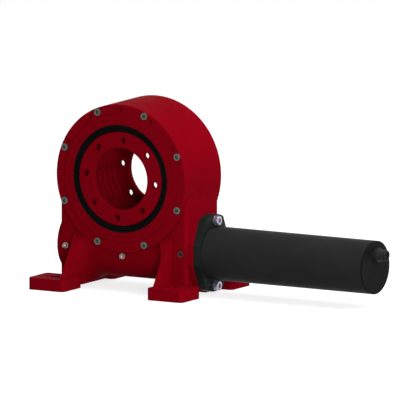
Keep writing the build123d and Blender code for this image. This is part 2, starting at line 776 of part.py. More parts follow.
with BuildPart() as cap_o_ring:
    with BuildSketch(worm_section):
        with Locations((cap_groove_x + o_ring_r, roller_bearing_r - o_ring_r)):
            Circle(o_ring_r)
    revolve(axis=worm_axis)
pieces["cap_o_ring"] = cap_o_ring
with BuildPart() as cap_screws:
    for y, z in cap_screw_points:
        revolve(countersunk(y, z, cap_plate + cap_screw_depth),
                axis=Axis((cap_top_x, y, z - centre_distance), (1, 0, 0)))
        key_plane = Plane(origin=(cap_top_x, y, z - centre_distance), x_dir=(0, -1, 0), z_dir=(-1, 0, 0))
        with BuildSketch(key_plane):
            RegularPolygon(cap_screw_key_r, 6)
        extrude(amount=-cap_screw_key_depth, mode=Mode.SUBTRACT)
pieces["cap_screws"] = cap_screws

# Right end: oil seal between the bearing and the motor's flange
pieces["seal_spacer"] = turned_on_worm(
    (bearing_far_x, roller_bearing_r - spacer_wall), (bearing_far_x, roller_bearing_r),
    (seal_start_x, roller_bearing_r), (seal_start_x, roller_bearing_r - spacer_wall))
pieces["worm_oil_seal"] = turned_on_worm(
    (seal_start_x, shaft_r + oil_seal_case), (seal_start_x, roller_bearing_r), (seal_end_x, roller_bearing_r),
    (seal_end_x, shaft_r + running_gap), (seal_end_x - oil_seal_lip, shaft_r + running_gap),
    (seal_end_x - oil_seal_lip, shaft_r + oil_seal_case))


# Grease nipples and the oil plug on the front
def nipple(x, z, surface_y):
    """A short grease nipple: threaded stub, hexagon, neck and ball head."""
    with BuildPart() as fitting:
        with BuildSketch(facing_front(surface_y)):
            with Locations((x, z)):
                RegularPolygon(nipple_hex_r, 6)
        extrude(amount=nipple_hex)
        with BuildSketch(facing_front(surface_y)):
            with Locations((x, z)):
                Circle(nipple_stub_r)
        extrude(amount=-nipple_stub)
        with BuildSketch(Plane(origin=(x, 0, z), x_dir=(1, 0, 0), z_dir=(0, 0, 1))):
            with BuildLine():
                neck_y = surface_y - nipple_neck_y
                tip_y = surface_y - nipple_height
                Polyline((0, neck_y), (nipple_base_r, neck_y), (nipple_waist_r, surface_y - nipple_waist_y),
                         (nipple_head_r, tip_y + nipple_head), (nipple_head_r, tip_y + nipple_head_bevel),
                         (nipple_tip_r, tip_y), (0, tip_y), close=True)
            make_face()
        revolve(axis=Axis((x, 0, z), (0, 1, 0)))
    return fitting


centre_nipple_z = -centre_distance - nipple_drop
chamber_front_y = -sqrt(worm_house_r ** 2 - nipple_drop ** 2)
pieces["left_grease_nipple"] = nipple(left_nipple_x, -centre_distance, -half_body)
pieces["centre_grease_nipple"] = nipple(0, centre_nipple_z, chamber_front_y)
plug_z = plug_rise - centre_distance
with BuildPart() as oil_plug:
    with BuildSketch(facing_front(-half_body + plug_sink)):
        with Locations((plug_x, plug_z)):
            Circle(plug_r)
    extrude(amount=-plug_length)
    with BuildSketch(facing_front(-half_body + plug_sink)):
        with Locations((plug_x, plug_z)):
            RegularPolygon(plug_key_r, 6)
    extrude(amount=-plug_key_depth, mode=Mode.SUBTRACT)
pieces["oil_plug"] = oil_plug

with BuildPart() as housing_drilled:
    add(housing)
    for x, z, start_y in (
        (left_nipple_x, -centre_distance, -half_body),
        (0, centre_nipple_z, -worm_house_r),
    ):
        with BuildSketch(facing_front(start_y)):
            with Locations((x, z)):
                Circle(nipple_stub_r)
        extrude(amount=-nipple_stub - nipple_drill_tip, mode=Mode.SUBTRACT)
    with BuildSketch(facing_front(chamber_front_y)):
        with Locations((0, centre_nipple_z)):
            Circle(spot_face_r)
    extrude(amount=half_body, mode=Mode.SUBTRACT)
    with BuildSketch(facing_front(-half_body)):
        with Locations((plug_x, plug_z)):
            Circle(plug_r)
    extrude(amount=-plug_sink - plug_length, mode=Mode.SUBTRACT)
    with BuildSketch(facing_front(-half_body)):
        with Locations((plug_x, plug_z)):
            Circle(plug_r + plug_recess)
    extrude(amount=-plug_sink, mode=Mode.SUBTRACT)
    with BuildSketch(facing_front(-joint_y)):
        with Locations(*cover_screw_points):
            Circle(cover_screw_r)
    extrude(amount=cover_depth - head_sink - cover_screw_length - tap_spare, mode=Mode.SUBTRACT)
    with BuildSketch(across_worm(boss_left_x)):
        with Locations(*cap_screw_points):
            Circle(cap_screw_r)
    extrude(amount=cap_screw_depth + tap_spare, mode=Mode.SUBTRACT)
    with BuildSketch(across_worm(flange_x)):
        with Locations((0, flange_screw_reach), (0, -flange_screw_reach)):
            Circle(flange_screw_r)
    extrude(amount=-flange_screw_depth - tap_spare, mode=Mode.SUBTRACT)
pieces["housing"] = housing_drilled

# Motor flange, its O-ring and screws
flange_groove_x = flange_x - o_ring_inset
with BuildPart() as motor_flange:
    extrude(flange_outline(across_worm(flange_x), 0), amount=flange_thick)
    with BuildSketch(across_worm(flange_x)):
        Circle(roller_bearing_r)
    extrude(amount=flange_spigot_gap - flange_spigot)
    with BuildSketch(across_worm(flange_x - flange_spigot)):
        Circle(flange_bore_r)
    extrude(amount=flange_thick + flange_spigot, mode=Mode.SUBTRACT)
    with BuildSketch(across_worm(flange_x)):
        with Locations((0, flange_screw_reach), (0, -flange_screw_reach)):
            Circle(flange_screw_r + screw_gap)
        with PolarLocations(gearbox_screw_r, gearbox_screw_count, start_angle=45):
            Circle(gearbox_screw_shank_r + screw_gap)
    extrude(amount=flange_thick, mode=Mode.SUBTRACT)
    with BuildSketch(across_worm(flange_x - flange_spigot)):
        with PolarLocations(gearbox_screw_r, gearbox_screw_count, start_angle=45):
            Circle(gearbox_screw_head_r + head_gap)
    extrude(amount=flange_spigot + gearbox_screw_sink, mode=Mode.SUBTRACT)
    with BuildSketch(worm_section):
        with Locations((flange_groove_x, roller_bearing_r - o_ring_r)):
            Rectangle(2 * o_ring_r, 2 * o_ring_r)
    revolve(axis=worm_axis, mode=Mode.SUBTRACT)
pieces["motor_flange"] = motor_flange
with BuildPart() as flange_o_ring:
    with BuildSketch(worm_section):
        with Locations((flange_groove_x, roller_bearing_r - o_ring_r)):
            Circle(o_ring_r)
    revolve(axis=worm_axis)
pieces["flange_o_ring"] = flange_o_ring
flange_seats = [
    Plane(origin=(motor_x, 0, side * flange_screw_reach - centre_distance), x_dir=(0, 1, 0), z_dir=(1, 0, 0))
    for side in (-1, 1)]
pieces["flange_screws"] = socket_screws(
    flange_seats, flange_screw_head_r, flange_screw_head, flange_screw_r, flange_thick + flange_screw_depth,
    flange_screw_key)

# Gear motor: tube, end plate, planetary cartridge, motor can and shaft
plate_x = motor_end_x - end_plate
pieces["motor_tube"] = turned_on_worm(
    (motor_x, motor_bore_r), (motor_x, motor_r), (plate_x, motor_r), (plate_x, motor_bore_r))
shaft_inner_x = motor_x + motor_shaft_reach
shaft_hole_r = motor_shaft_r + running_gap
shaft_hole_x = shaft_inner_x + gearbox_bore_spare
with BuildPart() as gearbox_cartridge:
    revolve(section(
        worm_section,
        (motor_x, shaft_hole_r), (motor_x, motor_bore_r), (gearbox_end_x, motor_bore_r),
        (gearbox_end_x, 0), (shaft_hole_x, 0), (shaft_hole_x, shaft_hole_r)), axis=worm_axis)
    with BuildSketch(across_worm(motor_x)):
        with PolarLocations(gearbox_screw_r, gearbox_screw_count, start_angle=45):
            Circle(gearbox_screw_shank_r)
    extrude(amount=gearbox_screw_depth + tap_spare, mode=Mode.SUBTRACT)
pieces["gearbox_cartridge"] = gearbox_cartridge
gearbox_seat_x = flange_x + gearbox_screw_sink
gearbox_seats = [
    Plane(origin=(gearbox_seat_x, y, z - centre_distance), x_dir=(0, -1, 0), z_dir=(-1, 0, 0))
    for y, z in polar_points(gearbox_screw_r, gearbox_screw_count, 45)]
pieces["gearbox_screws"] = socket_screws(
    gearbox_seats, gearbox_screw_head_r, gearbox_screw_head, gearbox_screw_shank_r,
    motor_x - gearbox_seat_x + gearbox_screw_depth, gearbox_screw_key)
can_r = motor_bore_r - can_gap
can_end_x = gearbox_end_x + can_length
pieces["motor_can"] = turned_on_worm(
    (gearbox_end_x, 0), (gearbox_end_x, can_r), (can_end_x, can_r), (can_end_x, can_boss_r),
    (can_end_x + can_boss, can_boss_r), (can_end_x + can_boss, 0))
key_x = grip_x + key_end_gap
with BuildPart() as motor_shaft:
    with BuildSketch(across_worm(grip_x)):
        Circle(motor_shaft_r)
    extrude(amount=shaft_inner_x - grip_x)
    with BuildSketch(across_worm(key_x)):
        with Locations((0, motor_shaft_r)):
            Rectangle(key_width, key_height)
    extrude(amount=key_length, mode=Mode.SUBTRACT)
pieces["motor_shaft"] = motor_shaft
with BuildPart() as shaft_key:
    with BuildSketch(across_worm(key_x)):
        with Locations((0, motor_shaft_r)):
            Rectangle(key_width, key_height - key_top_gap)
    extrude(amount=key_length)
pieces["shaft_key"] = shaft_key

# End plate and the cable connector on it
connector_z = connector_rise - centre_distance
connector_plane = Plane(origin=(motor_end_x, 0, connector_z), x_dir=(0, 1, 0), z_dir=(1, 0, 0))
connector_axis = Axis((motor_end_x, 0, connector_z), (1, 0, 0))
connector_section = Plane(origin=(motor_end_x, 0, connector_z), x_dir=(1, 0, 0), z_dir=(0, -1, 0))
spigot_x = plate_x - end_plate_spigot
with BuildPart() as motor_end_plate:
    revolve(section(
        worm_section, (spigot_x, 0), (spigot_x, motor_bore_r), (plate_x, motor_bore_r), (plate_x, motor_r),
        (motor_end_x, motor_r), (motor_end_x, 0)), axis=worm_axis)
    with BuildSketch(connector_plane):
        Circle(connector_hole_r)
    extrude(amount=-end_plate - end_plate_spigot, mode=Mode.SUBTRACT)
pieces["motor_end_plate"] = motor_end_plate
with BuildPart() as connector_body:
    revolve(section(
        connector_section, (-connector_tail, 0), (-connector_tail, connector_hole_r),
        (connector_length, connector_hole_r), (connector_length, sleeve_bore_r),
        (nut_width, sleeve_bore_r), (nut_width, 0)), axis=connector_axis)
pieces["connector_body"] = connector_body
with BuildPart() as connector_nut:
    revolve(section(
        connector_section, (0, connector_hole_r), (0, nut_r), (nut_width, nut_r), (nut_width, sleeve_r),
        (connector_length - sleeve_step, sleeve_r), (connector_length - sleeve_step, connector_hole_r)),
        axis=connector_axis)
pieces["connector_nut"] = connector_nut
with BuildPart() as connector_pins:
    with BuildSketch(connector_plane.offset(nut_width)):
        with PolarLocations(pin_circle_r, pin_count, start_angle=45):
            Circle(pin_r)
    extrude(amount=pin_length)
pieces["connector_pins"] = connector_pins

for name, piece in pieces.items():
    piece.part.label = name
    export_step(piece.part, f"parts/{name}.step")
    print(name, len(piece.part.solids()), round(piece.part.volume), piece.part.is_valid)
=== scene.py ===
import bpy
import math
from mathutils import Matrix, Vector


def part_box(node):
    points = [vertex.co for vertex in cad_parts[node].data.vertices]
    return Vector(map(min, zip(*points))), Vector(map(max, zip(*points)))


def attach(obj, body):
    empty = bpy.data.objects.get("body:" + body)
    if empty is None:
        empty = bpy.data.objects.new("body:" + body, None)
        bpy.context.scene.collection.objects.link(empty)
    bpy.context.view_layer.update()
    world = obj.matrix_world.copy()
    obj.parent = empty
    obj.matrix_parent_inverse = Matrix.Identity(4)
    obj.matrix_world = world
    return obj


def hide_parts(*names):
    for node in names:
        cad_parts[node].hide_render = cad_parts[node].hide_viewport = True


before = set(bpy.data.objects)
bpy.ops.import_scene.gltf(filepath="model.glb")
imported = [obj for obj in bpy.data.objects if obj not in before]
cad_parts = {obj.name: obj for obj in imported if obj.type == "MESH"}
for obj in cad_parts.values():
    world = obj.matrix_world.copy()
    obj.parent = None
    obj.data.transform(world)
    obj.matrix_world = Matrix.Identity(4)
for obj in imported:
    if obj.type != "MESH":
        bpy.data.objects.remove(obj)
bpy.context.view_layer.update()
print("frame loaded")

mm = 0.001
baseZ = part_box("housing")[0][2]


def newMaterial(name):
    material = bpy.data.materials.new(name)
    material.use_nodes = True
    nodes = material.node_tree.nodes
    return material, nodes, material.node_tree.links, nodes["Principled BSDF"]


def noiseOn(nodes, links, source, look, kind):
    # the look's drift, gloss, grain or speck noise
    noise = nodes.new("ShaderNodeTexNoise")
    for socket in ("Scale", "Detail", "Roughness"):
        noise.inputs[socket].default_value = look[kind + socket]
    links.new(source, noise.inputs["Vector"])
    return noise.outputs["Fac"]


def mapped(nodes, links, value, fromLow, fromHigh, toLow, toHigh):
    span = nodes.new("ShaderNodeMapRange")
    ends = {"From Min": fromLow, "From Max": fromHigh, "To Min": toLow, "To Max": toHigh}
    for socket, number in ends.items():
        span.inputs[socket].default_value = number
    links.new(value, span.inputs["Value"])
    return span.outputs["Result"]


def mixedColour(nodes, links, factor, first, second):
    mix = nodes.new("ShaderNodeMix")
    mix.data_type = "RGBA"
    links.new(factor, mix.inputs["Factor"])
    for socket, colour in ((mix.inputs["A"], first), (mix.inputs["B"], second)):
        if isinstance(colour, tuple):
            socket.default_value = (*colour, 1)
        else:
            links.new(colour, socket)
    return mix.outputs["Result"]


def ringsAbout(nodes, links, source, axis, centreZ, spacing):
    # fine concentric tool marks round an axis: 0 is X, 1 is Y
    place = nodes.new("ShaderNodeMapping")
    place.inputs["Location"].default_value = (0, 0, -centreZ)
    scale = [1, 1, 1]
    scale[axis] = 0
    place.inputs["Scale"].default_value = scale
    links.new(source, place.inputs["Vector"])
    length = nodes.new("ShaderNodeVectorMath")
    length.operation = "LENGTH"
    links.new(place.outputs["Vector"], length.inputs[0])
    turns = nodes.new("ShaderNodeMath")
    turns.operation = "MULTIPLY"
    turns.inputs[1].default_value = 2 * math.pi / spacing
    links.new(length.outputs["Value"], turns.inputs[0])
    wave = nodes.new("ShaderNodeMath")
    wave.operation = "SINE"
    links.new(turns.outputs["Value"], wave.inputs[0])
    return mapped(nodes, links, wave.outputs["Value"], -1, 1, 0, 1)


# what a finish has unless it says otherwise, and the noise levels between which it changes
plainLook = {"driftScale": 22, "driftDetail": 4, "driftRoughness": 0.6, "driftSpan": (0.35, 0.65),
             "glossScale": 60, "glossDetail": 5, "glossRoughness": 0.65, "glossSpan": (0.3, 0.7),
             "grainDetail": 3, "grainRoughness": 0.55, "grainDepth": 0.3 * mm, "ringDepth": 0.05 * mm,
             "speckDetail": 2, "speckRoughness": 0.5, "speckSpan": 0.06, "metallic": 0.0, "specular": 0.5,
             "edgeSamples": 4}


def finish(name, ownLook):
    # colour drift, uneven gloss and a fine surface grain, all from object coordinates
    look = {**plainLook, **ownLook}
    material, nodes, links, shader = newMaterial(name)
    coordinates = nodes.new("ShaderNodeTexCoord").outputs["Object"]
    drift = noiseOn(nodes, links, coordinates, look, "drift")
    drift = mapped(nodes, links, drift, *look["driftSpan"], 0, 1)
    base = mixedColour(nodes, links, drift, look["colour"], look["colourLow"])
    if "speck" in look:
        specks = noiseOn(nodes, links, coordinates, look, "speck")
        full = look["speckFrom"] + look["speckSpan"]
        specks = mapped(nodes, links, specks, look["speckFrom"], full, 0, look["speckAmount"])
        base = mixedColour(nodes, links, specks, base, look["speck"])
    links.new(base, shader.inputs["Base Color"])
    gloss = noiseOn(nodes, links, coordinates, look, "gloss")
    gloss = mapped(nodes, links, gloss, *look["glossSpan"], *look["roughness"])
    links.new(gloss, shader.inputs["Roughness"])
    shader.inputs["Metallic"].default_value = look["metallic"]
    shader.inputs["Specular IOR Level"].default_value = look["specular"]
    grain = noiseOn(nodes, links, coordinates, look, "grain")
    bump = nodes.new("ShaderNodeBump")
    bump.inputs["Strength"].default_value = look["grain"]
    bump.inputs["Distance"].default_value = look["grainDepth"]
    links.new(grain, bump.inputs["Height"])
    if "edge" in look:
        rounding = nodes.new("ShaderNodeBevel")
        rounding.samples = look["edgeSamples"]
        rounding.inputs["Radius"].default_value = look["edge"]
        links.new(rounding.outputs["Normal"], bump.inputs["Normal"])
    normal = bump.outputs["Normal"]
    if "rings" in look:
        axis, centreZ, spacing, strength = look["rings"]
        marks = nodes.new("ShaderNodeBump")
        marks.inputs["Strength"].default_value = strength
        marks.inputs["Distance"].default_value = look["ringDepth"]
        links.new(ringsAbout(nodes, links, coordinates, axis, centreZ, spacing), marks.inputs["Height"])
        links.new(normal, marks.inputs["Normal"])
        normal = marks.outputs["Normal"]
    links.new(normal, shader.inputs["Normal"])
    return material


def dress(material, *names):
    for name in names:
        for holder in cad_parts[name].material_slots:
            holder.material = material


castRed = finish("castRed", {
    "colour": (0.178, 0.0006, 0.0050), "colourLow": (0.158, 0.0005, 0.0044), "driftScale": 14,
    "roughness": (0.44, 0.58), "specular": 0.003, "grainScale": 420, "grain": 0.32, "grainDepth": 0.35 * mm,
    "edge": 0.9 * mm, "speck": (0.110, 0.0003, 0.0020), "speckScale": 260, "speckFrom": 0.66,
    "speckAmount": 0.5,
})
turnedRed = finish("turnedRed", {
    "colour": (0.168, 0.0006, 0.0048), "colourLow": (0.156, 0.0005, 0.0044), "driftScale": 18,
    "roughness": (0.40, 0.52), "specular": 0.003, "grainScale": 900, "grain": 0.10, "edge": 0.5 * mm,
    "rings": (1, 0.0, 0.9 * mm, 0.12),
})
sealRubber = finish("sealRubber", {
    "colour": (0.0018, 0.0018, 0.0019), "colourLow": (0.0026, 0.0026, 0.0027), "roughness": (0.55, 0.72),
    "grainScale": 700, "grain": 0.2, "specular": 0.03,
})
coverScrewSteel = finish("coverScrewSteel", {
    "colour": (0.120, 0.130, 0.112), "colourLow": (0.075, 0.082, 0.070), "driftScale": 180, "metallic": 0.85,
    "roughness": (0.34, 0.52), "glossScale": 300, "grainScale": 1500, "grain": 0.15,
})
zincSteel = finish("zincSteel", {
    "colour": (0.48, 0.45, 0.56), "colourLow": (0.36, 0.34, 0.43), "driftScale": 160, "metallic": 0.9,
    "roughness": (0.24, 0.42), "glossScale": 260, "grainScale": 1300, "grain": 0.12,
})
nippleSteel = finish("nippleSteel", {
    "colour": (0.33, 0.24, 0.23), "colourLow": (0.24, 0.17, 0.165), "driftScale": 190, "metallic": 0.9,
    "roughness": (0.20, 0.38), "glossScale": 260, "grainScale": 1300, "grain": 0.10,
})
plugSteel = finish("plugSteel", {
    "colour": (0.080, 0.046, 0.046), "colourLow": (0.056, 0.034, 0.034), "driftScale": 200, "metallic": 0.4,
    "roughness": (0.45, 0.6), "specular": 0.10, "grainScale": 1200, "grain": 0.15,
})
motorBlack = finish("motorBlack", {
    "colour": (0.0160, 0.0160, 0.0162), "colourLow": (0.0130, 0.0130, 0.0132), "driftScale": 16,
    "roughness": (0.36, 0.48), "specular": 0.015, "grainScale": 1400, "grain": 0.16, "grainDepth": 0.2 * mm,
    "edge": 0.4 * mm,
})
endBlack = finish("endBlack", {
    "colour": (0.0080, 0.0080, 0.0082), "colourLow": (0.0062, 0.0062, 0.0064), "driftScale": 24,
    "roughness": (0.40, 0.52), "specular": 0.012, "grainScale": 1400, "grain": 0.16, "grainDepth": 0.2 * mm,
    "edge": 0.4 * mm,
})
flangeBlack = finish("flangeBlack", {
    "colour": (0.0078, 0.0100, 0.0094), "colourLow": (0.0060, 0.0080, 0.0075), "driftScale": 30,
    "roughness": (0.40, 0.54), "specular": 0.06, "grainScale": 900, "grain": 0.22, "edge": 0.6 * mm,
})
plasticBlack = finish("plasticBlack", {
    "colour": (0.0100, 0.0100, 0.0105), "colourLow": (0.0140, 0.0140, 0.0145), "driftScale": 90,
    "roughness": (0.36, 0.5), "specular": 0.10, "grainScale": 2200, "grain": 0.12, "edge": 0.3 * mm,
})
contactBrass = finish("contactBrass", {
    "colour": (0.62, 0.42, 0.14), "colourLow": (0.5, 0.33, 0.1), "driftScale": 300, "metallic": 1.0,
    "roughness": (0.2, 0.35), "grainScale": 2000, "grain": 0.05,
})
bearingSteel = finish("bearingSteel", {
    "colour": (0.55, 0.55, 0.56), "colourLow": (0.46, 0.46, 0.47), "driftScale": 90, "metallic": 1.0,
    "roughness": (0.12, 0.24), "grainScale": 1500, "grain": 0.05,
})
gearSteel = finish("gearSteel", {
    "colour": (0.36, 0.35, 0.34), "colourLow": (0.26, 0.25, 0.24), "driftScale": 60, "metallic": 1.0,
    "roughness": (0.28, 0.45), "grainScale": 800, "grain": 0.15,
})
cageBrass = finish("cageBrass", {
    "colour": (0.46, 0.32, 0.11), "colourLow": (0.38, 0.25, 0.08), "driftScale": 120, "metallic": 1.0,
    "roughness": (0.28, 0.42), "grainScale": 900, "grain": 0.1,
})

dress(castRed, "housing", "worm_end_cap")
dress(turnedRed, "front_cover", "output_ring")
dress(sealRubber, "front_seal", "rear_seal", "cap_o_ring", "flange_o_ring", "worm_oil_seal")
dress(coverScrewSteel, "cap_screws", "gearbox_screws")
dress(plugSteel, "oil_plug")
dress(motorBlack, "motor_tube")
dress(endBlack, "motor_end_plate")
dress(flangeBlack, "motor_flange")
dress(plasticBlack, "connector_body", "connector_nut")
dress(contactBrass, "connector_pins")
dress(bearingSteel, "front_inner_race", "front_outer_race", "rear_inner_race", "rear_outer_race",
      "front_balls", "rear_balls", "left_bearing_cup", "right_bearing_cup", "left_bearing_cone",
      "right_bearing_cone", "left_rollers", "right_rollers")
dress(cageBrass, "front_cage", "rear_cage", "left_roller_cage", "right_roller_cage")
dress(gearSteel, "worm_wheel", "worm_shaft", "worm_locknut", "motor_shaft", "shaft_key", "preload_shim",
      "seal_spacer", "gearbox_cartridge", "motor_can")
print("materials made")

sideLimit = 0.1  # the normal of a side face rises less than this
endLimit = 0.9   # the normal of an end face rises or falls more than this
edgeStyle = {"segments": 2, "bevelAngle": 40, "smoothAngle": 35}
# the drilled point of a socket as shares of the key width, and the socket's depth as a share of the head
socketShares = {"pointInset": 0.08, "pointDepth": 0.2, "depth": 0.55}
knurlDrawIn = 0.4  # how far a sunk face draws in, as a share of its depth


def chooseFaces(keep):
    # selects only those faces of the edited mesh that keep() accepts
    bpy.ops.object.mode_set(mode="OBJECT")
    mesh = bpy.context.object.data
    for part in (mesh.vertices, mesh.edges, mesh.polygons):
        for element in part:
            element.select = False
    for face in mesh.polygons:
        face.select = keep(face)
    bpy.ops.object.mode_set(mode="EDIT")


def startEditing():
    bpy.ops.object.mode_set(mode="EDIT")
    bpy.ops.mesh.select_mode(type="FACE")


def finishEditing():
    bpy.ops.mesh.select_all(action="SELECT")
    bpy.ops.mesh.normals_make_consistent(inside=False)
    bpy.ops.object.mode_set(mode="OBJECT")


def addModifier(piece, kind, **settings):
    modifier = piece.modifiers.new(kind.lower(), kind)
    for key, value in settings.items():
        setattr(modifier, key, value)
    bpy.ops.object.modifier_apply(modifier=modifier.name)


def cylinderAt(sides, radius, low, high):
    bpy.ops.object.select_all(action="DESELECT")
    bpy.ops.mesh.primitive_cylinder_add(vertices=sides, radius=radius, depth=high - low,
                                        location=(0, 0, (low + high) / 2))
    bpy.ops.object.transform_apply(location=True, rotation=True, scale=True)
    return bpy.context.object


def socketHole(piece, keyWidth, top, depth):
    # a hexagon socket with a drilled point, cut down from the top of a head
    cutter = cylinderAt(6, keyWidth / math.sqrt(3), top - depth, top + depth)
    startEditing()
    chooseFaces(lambda face: face.normal.z < -endLimit)
    bpy.ops.mesh.inset(thickness=keyWidth * socketShares["pointInset"])
    point = (0, 0, -keyWidth * socketShares["pointDepth"])
    bpy.ops.mesh.extrude_region_move(TRANSFORM_OT_translate={"value": point})
    bpy.ops.mesh.merge(type="CENTER")
    finishEditing()
    bpy.context.view_layer.objects.active = piece
    addModifier(piece, "BOOLEAN", operation="DIFFERENCE", object=cutter, solver="EXACT")
    bpy.data.objects.remove(cutter)


def knurl(piece, sides, low, high, depth):
    # every second face of the head's side is sunk between two rings
    startEditing()
    for level in (low, high):
        bpy.ops.mesh.select_all(action="SELECT")
        bpy.ops.mesh.bisect(plane_co=(0, 0, level), plane_no=(0, 0, 1))

    def everySecond(face):
        place = math.atan2(face.center.y, face.center.x) / (2 * math.pi) * sides - 0.5
        onSide = abs(face.normal.z) < sideLimit and low < face.center.z < high
        return onSide and round(place) % 2 == 0

    chooseFaces(everySecond)
    bpy.ops.mesh.inset(thickness=depth * knurlDrawIn, depth=-depth, use_individual=True)
    finishEditing()


def smoothed(piece):
    bpy.ops.object.select_all(action="DESELECT")
    piece.select_set(True)
    bpy.ops.object.shade_smooth_by_angle(angle=math.radians(edgeStyle["smoothAngle"]))


def softEdges(piece, width):
    addModifier(piece, "BEVEL", width=width, segments=edgeStyle["segments"], limit_method="ANGLE",
                angle_limit=math.radians(edgeStyle["bevelAngle"]))
    smoothed(piece)


def turnedPiece(sides, profile):
    # a closed turned piece, drawn up step by step from (radius, height) pairs
    bpy.ops.object.select_all(action="DESELECT")
    radius, level = profile[0]
    bpy.ops.mesh.primitive_circle_add(vertices=sides, radius=radius, fill_type="NGON",
                                      location=(0, 0, level))
    bpy.ops.object.transform_apply(location=True, rotation=True, scale=True)
    startEditing()
    bpy.ops.mesh.select_all(action="SELECT")
    for nextRadius, nextLevel in profile[1:]:
        bpy.ops.mesh.extrude_region_move(TRANSFORM_OT_translate={"value": (0, 0, nextLevel - level)})
        grow = nextRadius / radius
        bpy.ops.transform.resize(value=(grow, grow, 1), center_override=(0, 0, nextLevel))
        radius = nextRadius
        level = nextLevel
    finishEditing()
    return bpy.context.object


def joined(name, pieces):
    bpy.ops.object.select_all(action="DESELECT")
    for piece in pieces:
        piece.select_set(True)
    bpy.context.view_layer.objects.active = pieces[0]
    if len(pieces) > 1:
        bpy.ops.object.join()
    result = bpy.context.object
    result.name = name
    return result


def placedCopies(name, pattern, places):
    # one copy of the pattern for each (point, direction), all in one object at the origin
    copies = []
    for point, direction in places:
        copy = pattern.copy()
        copy.data = pattern.data.copy()
        bpy.context.collection.objects.link(copy)
        turn = Vector(direction).to_track_quat("Z", "Y").to_matrix().to_4x4()
        copy.data.transform(Matrix.Translation(Vector(point)) @ turn)
        copies.append(copy)
    bpy.data.objects.remove(pattern)
    return joined(name, copies)


def standsFor(piece, body, slot, material, *nodes):
    piece.data.materials.clear()
    piece.data.materials.append(material)
    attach(piece, body)
    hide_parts(*nodes)


def socketScrew(sizes):
    # a knurled cap-head screw that stands on z = 0, its shank below
    height = sizes["headHeight"]
    screw = cylinderAt(sizes["sides"], sizes["headRadius"], 0, height)
    startEditing()
    chooseFaces(lambda face: face.normal.z < -endLimit)
    bpy.ops.mesh.inset(thickness=sizes["headRadius"] - sizes["shankRadius"])
    bpy.ops.mesh.extrude_region_move(TRANSFORM_OT_translate={"value": (0, 0, -sizes["shankLength"])})
    finishEditing()
    softEdges(screw, sizes["edge"])
    bandLow, bandHigh = sizes["knurlBand"]
    knurl(screw, sizes["sides"], height * bandLow, height * bandHigh, sizes["knurlDepth"])
    socketHole(screw, sizes["keyWidth"], height, height * socketShares["depth"])
    smoothed(screw)
    return screw


coverScrew = {"count": 8, "sides": 48, "headRadius": 5 * mm, "headHeight": 6 * mm, "shankRadius": 3 * mm,
              "shankLength": 20 * mm, "keyWidth": 5 * mm, "edge": 0.35 * mm, "knurlDepth": 0.22 * mm,
              "knurlBand": (0.2, 0.8)}
low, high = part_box("cover_screws")
halfStep = math.pi / coverScrew["count"]
coverCircle = ((high[0] - low[0]) / 2 - coverScrew["headRadius"]) / math.cos(halfStep)
seatY = low[1] + coverScrew["headHeight"]
places = []
for i in range(coverScrew["count"]):
    turn = halfStep + i * 2 * halfStep
    point = (coverCircle * math.cos(turn), seatY, coverCircle * math.sin(turn))
    places.append((point, (0, -1, 0)))
coverScrews = placedCopies("coverScrews", socketScrew(coverScrew), places)
standsFor(coverScrews, "housing_assembly", "grey_screw", coverScrewSteel, "cover_screws")
print("cover screws modelled")

flangeScrew = {"sides": 48, "headRadius": 6.5 * mm, "headHeight": 8 * mm, "shankRadius": 4 * mm,
               "keyWidth": 6 * mm, "edge": 0.45 * mm, "knurlDepth": 0.28 * mm, "knurlBand": (0.2, 0.8)}
low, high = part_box("flange_screws")
flangeScrew["shankLength"] = high[0] - low[0] - flangeScrew["headHeight"]
seatX = high[0] - flangeScrew["headHeight"]
places = [((seatX, 0, low[2] + flangeScrew["headRadius"]), (1, 0, 0)),
          ((seatX, 0, high[2] - flangeScrew["headRadius"]), (1, 0, 0))]
flangeScrews = placedCopies("flangeScrews", socketScrew(flangeScrew), places)
standsFor(flangeScrews, "housing_assembly", "zinc_steel", zincSteel, "flange_screws")
print("flange screws modelled")

# the head is given as radius and depth below its tip, in millimetres, and ends in the ball of the inlet
greaseNipple = {"hexRadius": 4.6 * mm, "hexHeight": 4 * mm, "edge": 0.4 * mm, "stubSides": 32,
                "stubRadius": 2.8 * mm, "stubLength": 7 * mm, "headSides": 40, "headRadius": 2.6 * mm,
                "headEdge": 0.12 * mm, "overlap": 0.3 * mm,
                "head": [(1.9, 3.2), (1.9, 2.6), (2.9, 1.7), (2.9, 1.1), (2.3, 0.35), (1.5, 0),
                         (0.75, 0), (0.75, 0.7), (0.4, 0.35)]}


def modelNipple(name, node):
    # stub, hexagon and the turned head with its ball inlet, pointing to the front
    low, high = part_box(node)
    height = high[1] - low[1] - greaseNipple["stubLength"]
    overlap = greaseNipple["overlap"]
    stubRadius = greaseNipple["stubRadius"]
    stubProfile = [(stubRadius, -greaseNipple["stubLength"]), (stubRadius, overlap)]
    stub = turnedPiece(greaseNipple["stubSides"], stubProfile)
    hexTop = greaseNipple["hexHeight"]
    hexagon = cylinderAt(6, greaseNipple["hexRadius"], 0, hexTop)
    softEdges(hexagon, greaseNipple["edge"])
    headRadius = greaseNipple["headRadius"]
    profile = [(headRadius, hexTop - overlap), (headRadius, hexTop + overlap)]
    profile += [(radius * mm, height - depth * mm) for radius, depth in greaseNipple["head"]]
    head = turnedPiece(greaseNipple["headSides"], profile)
    softEdges(head, greaseNipple["headEdge"])
    nipple = joined(name + "Pattern", [hexagon, stub, head])
    surfaceY = high[1] - greaseNipple["stubLength"]
    place = ((low[0] + high[0]) / 2, surfaceY, (low[2] + high[2]) / 2)
    nipple = placedCopies(name, nipple, [(place, (0, -1, 0))])
    standsFor(nipple, "housing_assembly", "zinc_steel", nippleSteel, node)


